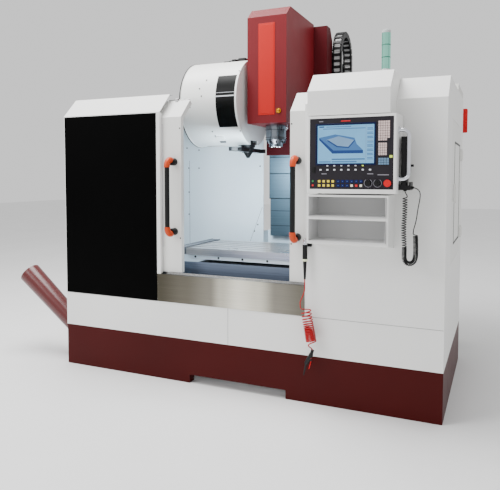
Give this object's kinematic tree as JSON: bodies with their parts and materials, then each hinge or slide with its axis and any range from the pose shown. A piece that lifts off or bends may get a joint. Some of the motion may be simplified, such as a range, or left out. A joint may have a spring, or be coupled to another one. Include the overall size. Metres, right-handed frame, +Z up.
{
  "type": "cnc machining center",
  "caption": "Vertical machining centre with sliding doors, tool magazine and changer arm, T-slot table, swivelling operator panel and air gun.",
  "frame": {"origin": "middle of the whole machine's floor area, on the floor", "axes": "+Z up, -Y towards the operator, +X to the operator's right"},
  "size_m": [3.0583, 2.072, 2.471],
  "materials": {
    "red_paint": "dark red gloss paint",
    "white_paint": "white textured paint",
    "grey_casting": "grey painted casting",
    "ground_iron": "ground and scraped",
    "stainless": "brushed",
    "cover_steel": "ground sheet",
    "black_gloss": "black gloss",
    "chrome": "polished",
    "ground_steel": "ground",
    "motor_black": "black paint",
    "glass": "clear polycarbonate",
    "handle_black": "satin black",
    "panel_dark": "dark grey foil",
    "stop_red": "red",
    "knob_black": "black",
    "chain_black": "black",
    "tower_green": "translucent green",
    "cable_black": "black",
    "hose_red": "red polyurethane",
    "cabinet_paint": "light grey paint"
  },
  "bodies": {
    "machine": {"base_plinth": "red_paint", "bed_casting": "grey_casting", "column_casting": "grey_casting", "axis_motors": "motor_black", "chip_pan": "stainless", "left_enclosure": "white_paint", "black_panel": "black_gloss", "right_enclosure": "white_paint", "apron": "stainless", "back_wall": "white_paint", "door_rails": "ground_steel", "signal_tower": "tower_green", "magazine_cover": "white_paint", "changer_bracket": "grey_casting", "auger_tube": "red_paint", "cable_chain": "chain_black", "shelf_unit": "white_paint", "air_coupling": "handle_black", "air_hose_lead": "hose_red", "air_hose_coil": "hose_red", "air_gun": "handle_black", "electrical_cabinet": "cabinet_paint"},
    "left_door": {"left_door": "white_paint", "left_door_window": "glass", "left_door_handle": "handle_black"},
    "right_door": {"right_door": "white_paint", "right_door_window": "glass", "right_door_handle": "handle_black"},
    "saddle": {"saddle": "grey_casting"},
    "y_screw": {"y_screw": "ground_steel"},
    "y_cover": {"y_cover": "stainless"},
    "table": {"table": "ground_iron"},
    "head": {"head_slide": "red_paint", "head_cover": "red_paint", "spindle_housing": "chrome", "spindle_motor": "motor_black", "z_cover_upper": "cover_steel"},
    "z_cover": {"z_cover_middle": "cover_steel"},
    "z_screw": {"z_screw": "ground_steel"},
    "spindle": {"spindle_shaft": "ground_steel"},
    "magazine_disc": {"magazine_disc": "ground_steel"},
    "change_pot": {"change_pot": "ground_steel"},
    "arm_sleeve": {"arm_sleeve": "motor_black"},
    "change_arm": {"change_arm": "motor_black"},
    "auger_screw": {"auger_screw": "ground_steel"},
    "pendant": {"pendant_box": "white_paint", "control_face": "panel_dark", "grab_handle": "chrome", "handset_holder": "handle_black", "handset": "handle_black", "handset_cable_lead": "cable_black", "handset_cable_curl": "cable_black"},
    "stop_button": {"stop_button": "stop_red"},
    "feed_knob": {"feed_knob": "knob_black"},
    "rapid_knob": {"rapid_knob": "knob_black"},
    "handset_wheel": {"handset_wheel": "knob_black"},
    "side_door": {"side_door": "white_paint"},
    "cabinet_door": {"cabinet_door": "cabinet_paint"},
    "main_switch": {"main_switch": "knob_black"},
    "gun_trigger": {"gun_trigger": "stop_red"}
  },
  "joints": [
    {"name": "left_door_slide", "type": "slide", "parent": "machine", "child": "left_door", "axis": [1, 0, 0], "range_m": [0, 0.361]},
    {"name": "right_door_slide", "type": "slide", "parent": "machine", "child": "right_door", "axis": [-1, 0, 0], "range_m": [0, 0.361]},
    {"name": "saddle_slide", "type": "slide", "parent": "machine", "child": "saddle", "axis": [0, 1, 0], "range_m": [-0.18, 0.22]},
    {"name": "y_screw_spin", "type": "hinge", "parent": "machine", "child": "y_screw", "pos_m": [0.259, -0.214, 0.53], "axis": [0, 1, 0], "continuous": true},
    {"name": "y_cover_slide", "type": "slide", "parent": "machine", "child": "y_cover", "axis": [0, 1, 0], "range_m": [-0.09, 0.11]},
    {"name": "table_slide", "type": "slide", "parent": "saddle", "child": "table", "axis": [1, 0, 0], "range_m": [-0.5, 0.5]},
    {"name": "head_travel", "type": "slide", "parent": "machine", "child": "head", "axis": [0, 0, 1], "range_m": [-0.6, 0], "deforming": ["cable_chain"]},
    {"name": "z_cover_slide", "type": "slide", "parent": "machine", "child": "z_cover", "axis": [0, 0, 1], "range_m": [-0.3, 0]},
    {"name": "z_screw_spin", "type": "hinge", "parent": "machine", "child": "z_screw", "pos_m": [0.259, 0.63, 1.2], "axis": [0, 0, 1], "continuous": true},
    {"name": "spindle_spin", "type": "hinge", "parent": "head", "child": "spindle", "pos_m": [0.259, -0.014, 1.6], "axis": [0, 0, -1], "continuous": true},
    {"name": "magazine_spin", "type": "hinge", "parent": "machine", "child": "magazine_disc", "pos_m": [-0.161, -0.014, 1.832], "axis": [1, 0, 0], "range_deg": [0, 360]},
    {"name": "pot_tip", "type": "hinge", "parent": "magazine_disc", "child": "change_pot", "pos_m": [-0.186, -0.014, 1.597], "axis": [0, -1, 0], "range_deg": [0, 90]},
    {"name": "arm_plunge", "type": "slide", "parent": "machine", "child": "arm_sleeve", "axis": [0, 0, 1], "range_m": [-0.115, 0]},
    {"name": "arm_swing", "type": "hinge", "parent": "arm_sleeve", "child": "change_arm", "pos_m": [0.0365, -0.014, 1.49], "axis": [0, 0, 1], "range_deg": [0, 270]},
    {"name": "auger_spin", "type": "hinge", "parent": "machine", "child": "auger_screw", "pos_m": [-1.481, -0.654, 0.572], "axis": [-0.7848, 0, 0.6198], "continuous": true},
    {"name": "pendant_swivel", "type": "hinge", "parent": "machine", "child": "pendant", "pos_m": [0.844, -0.859, 1.4], "axis": [0, 0, -1], "range_deg": [0, 45]},
    {"name": "stop_press", "type": "slide", "parent": "pendant", "child": "stop_button", "axis": [0, 1, 0], "range_m": [0, 0.006], "stiffness_N_per_m": 1500},
    {"name": "feed_override_turn", "type": "hinge", "parent": "pendant", "child": "feed_knob", "pos_m": [1.144, -1.014, 1.266], "axis": [0, -1, 0], "range_deg": [-135, 135]},
    {"name": "rapid_override_turn", "type": "hinge", "parent": "pendant", "child": "rapid_knob", "pos_m": [1.191, -1.014, 1.266], "axis": [0, -1, 0], "range_deg": [-135, 135]},
    {"name": "handwheel_spin", "type": "hinge", "parent": "pendant", "child": "handset_wheel", "pos_m": [1.33, -0.914, 1.345], "axis": [1, 0, 0], "continuous": true},
    {"name": "side_door_swing", "type": "hinge", "parent": "machine", "child": "side_door", "pos_m": [1.514, 0.192, 1.2], "axis": [0, 0, 1], "range_deg": [0, 110]},
    {"name": "cabinet_door_swing", "type": "hinge", "parent": "machine", "child": "cabinet_door", "pos_m": [0.818, 0.944, 1.2], "axis": [0, 0, 1], "range_deg": [0, 90]},
    {"name": "main_switch_turn", "type": "hinge", "parent": "machine", "child": "main_switch", "pos_m": [1.474, 0.486, 1.69], "axis": [1, 0, 0], "range_deg": [0, 90]},
    {"name": "gun_trigger_pull", "type": "hinge", "parent": "machine", "child": "gun_trigger", "pos_m": [0.806, -0.872, 0.282], "axis": [0, 1, 0], "range_deg": [0, 5], "stiffness_Nm_per_rad": 2}
  ],
  "couplings": [
    {"joint": "y_screw_spin", "follows": "saddle_slide", "rad_per_m": 628.32},
    {"joint": "y_cover_slide", "follows": "saddle_slide", "ratio": 0.5},
    {"joint": "z_screw_spin", "follows": "head_travel", "rad_per_m": 628.32},
    {"joint": "z_cover_slide", "follows": "head_travel", "ratio": 0.5}
  ]
}
